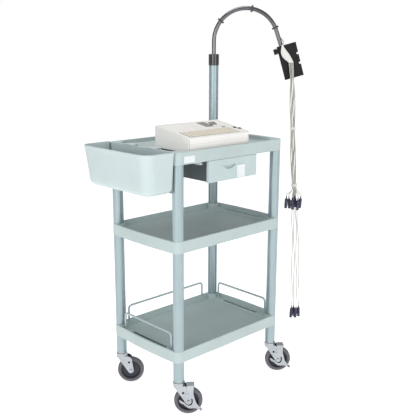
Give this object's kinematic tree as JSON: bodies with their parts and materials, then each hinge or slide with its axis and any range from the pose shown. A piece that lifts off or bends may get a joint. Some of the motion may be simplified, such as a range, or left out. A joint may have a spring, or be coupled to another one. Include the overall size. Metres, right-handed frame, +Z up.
{
  "type": "ecg machine trolley",
  "caption": "Electrocardiograph trolley with shelves on columns and casters, a chart recorder, a side bin, a drawer and a bent arm that carries the patient leads.",
  "frame": {"origin": "on the floor, midway between the four columns", "axes": "+X to the right along the front, +Y to the back, +Z up"},
  "size_m": [0.9008, 0.431, 1.4157],
  "materials": {
    "shelf_plastic": "fine-textured moulded plastic",
    "front_plastic": "fine-textured moulded plastic",
    "bin_plastic": "satin moulded plastic",
    "column_aluminium": "satin anodised",
    "steel": "machined",
    "rail_paint": "smooth powder coat",
    "white_plastic": "smooth moulded",
    "black_plastic": "glossy moulded",
    "hanger_black": "satin moulded",
    "black_rubber": "matt",
    "cable_grey": "smooth cable sheath",
    "connector_grey": "satin moulded",
    "case_plastic": "fine-textured moulded plastic",
    "keypad_silicone": "printed membrane",
    "display": "clear cover over a grey liquid-crystal panel",
    "circuit_board": "solder mask",
    "battery_wrap": "shrink wrap",
    "paper": "coated chart paper",
    "brass": "cut",
    "buffer_rubber": "matt",
    "tray_plastic": "moulded",
    "chrome": "bright plated",
    "clip_grey": "moulded",
    "lead_wire": "smooth cable sheath",
    "clip_navy": "moulded",
    "zinc": "bright zinc plate",
    "tyre": "smooth",
    "hub_plastic": "moulded"
  },
  "bodies": {
    "cart": {"top_shelf": "shelf_plastic", "middle_shelf": "shelf_plastic", "bottom_shelf": "shelf_plastic", "column_front_left": "column_aluminium", "column_front_right": "column_aluminium", "column_rear_left": "column_aluminium", "column_rear_right": "column_aluminium", "shelf_screws": "steel", "guard_rail_left": "rail_paint", "guard_rail_right": "rail_paint", "guard_rail_rear": "rail_paint", "drawer_runners": "white_plastic", "caster_stems": "steel", "pole_collar": "black_plastic", "trunk_cable_pole": "cable_grey", "trunk_connector": "connector_grey", "recorder_base": "case_plastic", "recorder_cover": "case_plastic", "keypad": "keypad_silicone", "display_window": "display", "circuit_boards": "circuit_board", "battery_pack": "battery_wrap", "print_head": "steel", "paper_pack": "paper", "feed_motor": "steel", "rear_sockets": "black_plastic", "recorder_feet": "black_rubber"},
    "bin": {"side_bin": "bin_plastic", "bin_buffers": "buffer_rubber"},
    "drawer": {"drawer_tray": "tray_plastic", "drawer_front": "front_plastic", "label_holder": "white_plastic"},
    "arm": {"arm_tube": "chrome", "cable_clips": "clip_grey", "lead_hanger": "hanger_black", "yoke": "connector_grey", "trunk_cable_arm": "cable_grey", "chest_leads": "lead_wire", "limb_leads": "lead_wire", "lead_clips": "clip_navy"},
    "door": {"printer_door": "case_plastic"},
    "platen": {"platen_roller": "black_rubber"},
    "pinion": {"motor_pinion": "brass"},
    "start_key": {"start_button": "black_plastic"},
    "stop_key": {"stop_button": "black_plastic"},
    "rocker": {"power_rocker": "black_plastic"},
    "swivel_front_left": {"fork_front_left": "zinc"},
    "wheel_front_left": {"tyre_front_left": "tyre", "hub_front_left": "hub_plastic"},
    "pedal_left": {"brake_pedal_left": "zinc"},
    "swivel_front_right": {"fork_front_right": "zinc"},
    "wheel_front_right": {"tyre_front_right": "tyre", "hub_front_right": "hub_plastic"},
    "pedal_right": {"brake_pedal_right": "zinc"},
    "swivel_rear_left": {"fork_rear_left": "zinc"},
    "wheel_rear_left": {"tyre_rear_left": "tyre", "hub_rear_left": "hub_plastic"},
    "swivel_rear_right": {"fork_rear_right": "zinc"},
    "wheel_rear_right": {"tyre_rear_right": "tyre", "hub_rear_right": "hub_plastic"}
  },
  "joints": [
    {"name": "drawer_slide", "type": "slide", "parent": "cart", "child": "drawer", "axis": [0, -1, 0], "range_m": [0, 0.24]},
    {"name": "arm_swivel", "type": "hinge", "parent": "cart", "child": "arm", "pos_m": [0.241, 0.1635, 1.2], "axis": [0, 0, 1], "range_deg": [-25, 120]},
    {"name": "bin_lift_off", "type": "slide", "parent": "cart", "child": "bin", "axis": [0, 0, 1], "range_m": [0, 0.06]},
    {"name": "printer_door_hinge", "type": "hinge", "parent": "cart", "child": "door", "pos_m": [-0.13, -0.00462, 0.99131], "axis": [-1, 0, 0], "range_deg": [0, 95]},
    {"name": "platen_spin", "type": "hinge", "parent": "cart", "child": "platen", "pos_m": [-0.13, -0.072, 0.967], "axis": [1, 0, 0], "continuous": true},
    {"name": "pinion_spin", "type": "hinge", "parent": "cart", "child": "pinion", "pos_m": [-0.18, -0.072, 0.9526], "axis": [1, 0, 0], "continuous": true},
    {"name": "start_press", "type": "slide", "parent": "cart", "child": "start_key", "axis": [0, 0.1731, -0.9849], "range_m": [0, 0.0015], "stiffness_N_per_m": 300},
    {"name": "stop_press", "type": "slide", "parent": "cart", "child": "stop_key", "axis": [0, 0.1731, -0.9849], "range_m": [0, 0.0015], "stiffness_N_per_m": 300},
    {"name": "power_switch", "type": "hinge", "parent": "cart", "child": "rocker", "pos_m": [-0.02, 0.0115, 0.965], "axis": [-1, 0, 0], "range_deg": [0, 8]},
    {"name": "front_left_swivel", "type": "hinge", "parent": "cart", "child": "swivel_front_left", "pos_m": [-0.241, -0.1635, 0.115], "axis": [0, 0, 1], "continuous": true},
    {"name": "front_left_roll", "type": "hinge", "parent": "swivel_front_left", "child": "wheel_front_left", "pos_m": [-0.21572, -0.18471, 0.05], "axis": [0.6428, 0.766, 0], "continuous": true},
    {"name": "brake_left", "type": "hinge", "parent": "swivel_front_left", "child": "pedal_left", "pos_m": [-0.21917, -0.18182, 0.078], "axis": [0.6428, 0.766, 0], "range_deg": [0, 8]},
    {"name": "front_right_swivel", "type": "hinge", "parent": "cart", "child": "swivel_front_right", "pos_m": [0.241, -0.1635, 0.115], "axis": [0, 0, 1], "continuous": true},
    {"name": "front_right_roll", "type": "hinge", "parent": "swivel_front_right", "child": "wheel_front_right", "pos_m": [0.26628, -0.18471, 0.05], "axis": [0.6428, 0.766, 0], "continuous": true},
    {"name": "brake_right", "type": "hinge", "parent": "swivel_front_right", "child": "pedal_right", "pos_m": [0.26283, -0.18182, 0.078], "axis": [0.6428, 0.766, 0], "range_deg": [0, 8]},
    {"name": "rear_left_swivel", "type": "hinge", "parent": "cart", "child": "swivel_rear_left", "pos_m": [-0.241, 0.1635, 0.115], "axis": [0, 0, 1], "continuous": true},
    {"name": "rear_left_roll", "type": "hinge", "parent": "swivel_rear_left", "child": "wheel_rear_left", "pos_m": [-0.21572, 0.14229, 0.05], "axis": [0.6428, 0.766, 0], "continuous": true},
    {"name": "rear_right_swivel", "type": "hinge", "parent": "cart", "child": "swivel_rear_right", "pos_m": [0.241, 0.1635, 0.115], "axis": [0, 0, 1], "continuous": true},
    {"name": "rear_right_roll", "type": "hinge", "parent": "swivel_rear_right", "child": "wheel_rear_right", "pos_m": [0.26628, 0.14229, 0.05], "axis": [0.6428, 0.766, 0], "continuous": true}
  ],
  "couplings": [
    {"joint": "pinion_spin", "follows": "platen_spin", "ratio": -2}
  ]
}
